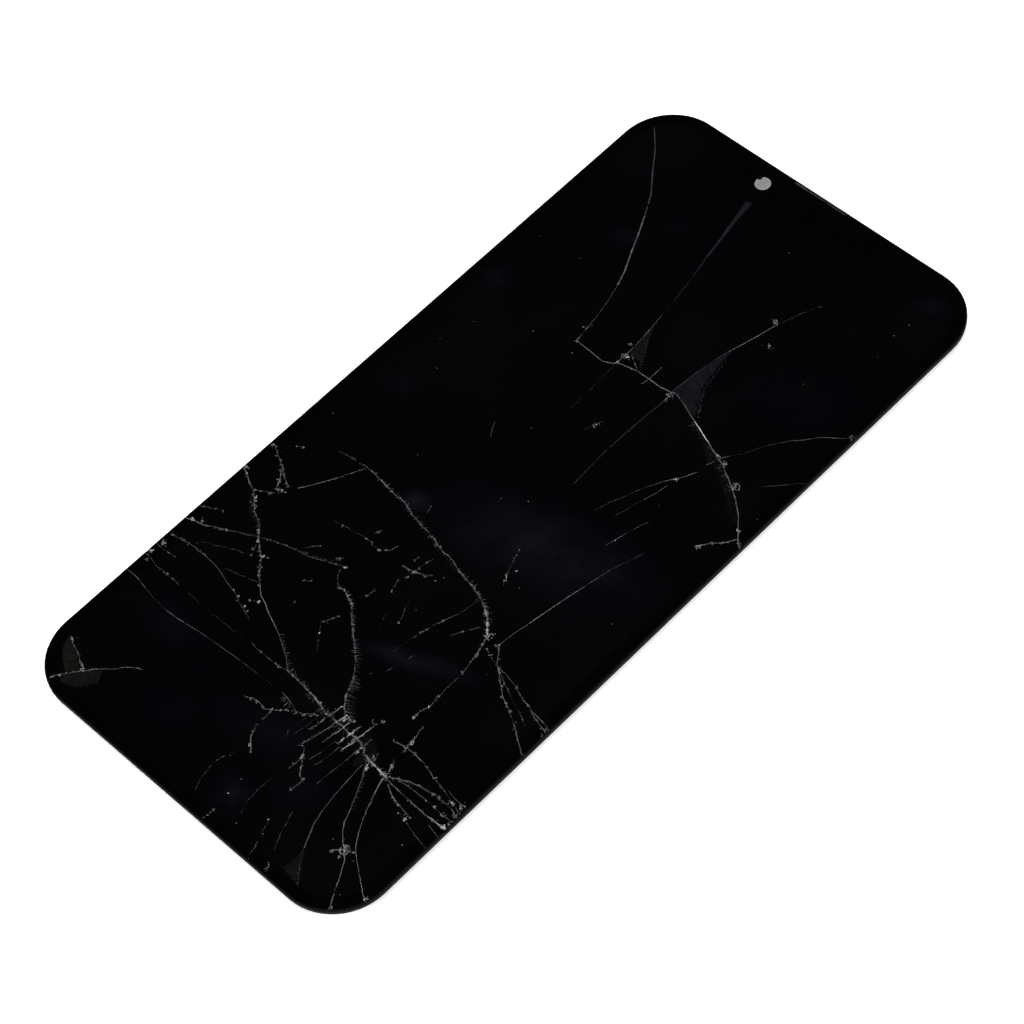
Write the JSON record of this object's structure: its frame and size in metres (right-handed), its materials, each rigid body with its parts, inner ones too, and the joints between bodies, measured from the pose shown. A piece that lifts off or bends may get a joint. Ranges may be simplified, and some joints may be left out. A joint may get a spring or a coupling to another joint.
{
  "type": "shattered phone screen module",
  "caption": "Loose phone display module, lying on its back, with a cracked black glass, its frame, display layers and flex tails.",
  "frame": {"origin": "middle of the module's outline, on the surface that it lies on", "axes": "+Z out of the glass, +Y towards the earpiece end, +X to the right as the screen is read"},
  "size_m": [0.0694, 0.144, 0.0023],
  "materials": {
    "cover_glass": "gloss, black behind, shattered",
    "frame_plastic": "moulded matt black",
    "steel_mesh": "etched, dark",
    "bracket_plastic": "moulded matt black",
    "glue": "cured adhesive",
    "clear_glue": "optically clear",
    "polariser_film": "dark film",
    "touch_film": "clear film",
    "panel": "display film",
    "foam": "fine closed-cell foam",
    "copper_foil": "rolled copper foil",
    "backing_film": "matt black film",
    "graphite": "pressed graphite sheet",
    "ground_foil": "plated foil",
    "tail_film": "amber polyimide",
    "chip": "polished silicon",
    "black_tape": "matt insulating tape",
    "flex_cover": "black coverlay",
    "tape": "double-sided tape",
    "stiffener_steel": "stamped",
    "connector": "moulded liquid-crystal polymer",
    "chip_parts": "fired ceramic",
    "plate_steel": "stamped",
    "post_brass": "turned",
    "clip_steel": "sprung, stamped",
    "nut_steel": "tapped"
  },
  "bodies": {
    "root": {"cover_glass": "cover_glass", "bezel_frame": "frame_plastic", "earpiece_mesh": "steel_mesh", "sensor_bracket": "bracket_plastic", "frame_adhesive": "glue", "optical_adhesive": "clear_glue", "polariser": "polariser_film", "touch_film": "touch_film", "oled_panel": "panel", "cushion_foam": "foam", "heat_spreader": "copper_foil", "backing_film": "backing_film", "graphite_pad": "graphite", "ground_foil": "ground_foil", "panel_tail": "tail_film", "driver_chip": "chip", "chip_cover": "black_tape", "display_flex": "flex_cover", "display_flex_tape": "tape", "display_stiffener": "stiffener_steel", "display_connector": "connector", "flex_components": "chip_parts", "touch_flex": "tail_film", "touch_flex_tape": "tape", "touch_stiffener": "stiffener_steel", "touch_connector": "connector", "camera_gasket": "foam", "earpiece_gasket": "foam", "mount_plate": "plate_steel", "mount_posts": "post_brass", "side_clips_left": "clip_steel", "side_clips_right": "clip_steel", "bottom_nuts": "nut_steel"}
  },
  "joints": []
}
